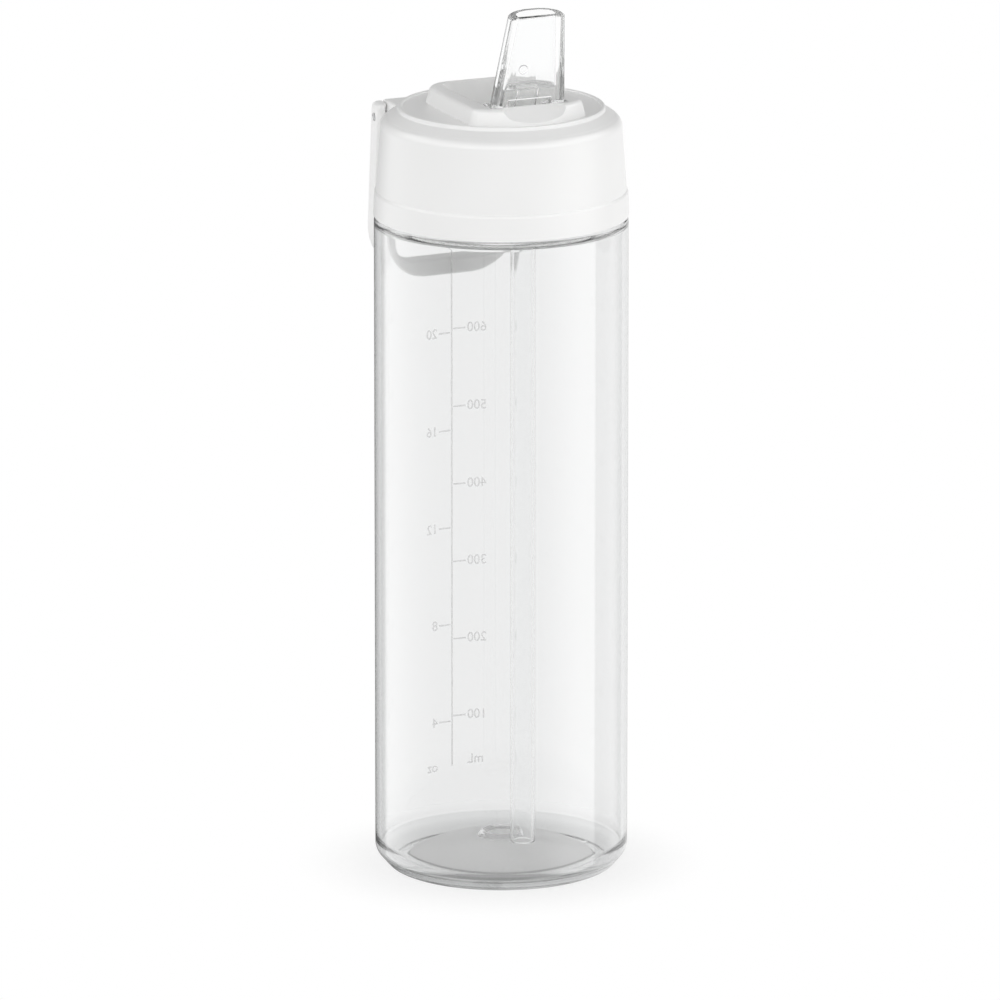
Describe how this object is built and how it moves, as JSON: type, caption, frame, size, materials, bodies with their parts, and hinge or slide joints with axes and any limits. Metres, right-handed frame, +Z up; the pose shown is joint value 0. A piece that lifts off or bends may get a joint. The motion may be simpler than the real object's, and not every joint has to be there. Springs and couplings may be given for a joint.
{
  "type": "water bottle with straw lid",
  "caption": "Clear cylindrical water bottle with a white screw lid, a clear flip-up drinking spout fed by a straw, and a white swinging carry loop.",
  "frame": {"origin": "on the standing plane, under the middle of the footprint, between the lid's front edge and the back of the hanging carry loop", "axes": "+Z up along the bottle's axis, -Y to the front where the spout tips towards the drinker, +Y to the back where the carry loop hangs, +X to the right seen from the front"},
  "size_m": [0.0764, 0.084, 0.2669],
  "materials": {
    "clear_bottle": "clear polished copolyester, blown smooth",
    "white_lid": "white moulded polypropylene, fine satin",
    "inner_cap": "white moulded polypropylene, smooth",
    "silicone": "translucent pale silicone",
    "clear_spout": "clear polished copolyester, moulded",
    "clear_straw": "clear extruded tube, slightly hazy",
    "white_loop": "white moulded polypropylene, fine satin",
    "steel_pin": "ground stainless pin"
  },
  "bodies": {
    "bottle": {"bottle_body": "clear_bottle"},
    "lid_seal": {"lid_gasket": "silicone"},
    "lid": {"lid_shell": "white_lid", "lid_core": "inner_cap", "straw": "clear_straw", "spout_seal": "silicone", "vent_valve": "silicone", "carry_pin_left": "steel_pin", "carry_pin_right": "steel_pin"},
    "spout": {"spout": "clear_spout"},
    "carry_loop": {"carry_loop": "white_loop"}
  },
  "joints": [
    {"name": "lid_lift", "type": "slide", "parent": "bottle", "child": "lid_seal", "axis": [0, 0, 1], "range_m": [0, 0.22]},
    {"name": "lid_turn", "type": "hinge", "parent": "lid_seal", "child": "lid", "pos_m": [0, -0.00382, 0.2], "axis": [0, 0, 1], "range_deg": [0, 450]},
    {"name": "spout_flip", "type": "hinge", "parent": "lid", "child": "spout", "pos_m": [0, -0.01952, 0.234], "axis": [-1, 0, 0], "range_deg": [0, 104.3]},
    {"name": "loop_swing", "type": "hinge", "parent": "lid", "child": "carry_loop", "pos_m": [0, 0.03498, 0.2244], "axis": [1, 0, 0], "range_deg": [0, 180]}
  ]
}
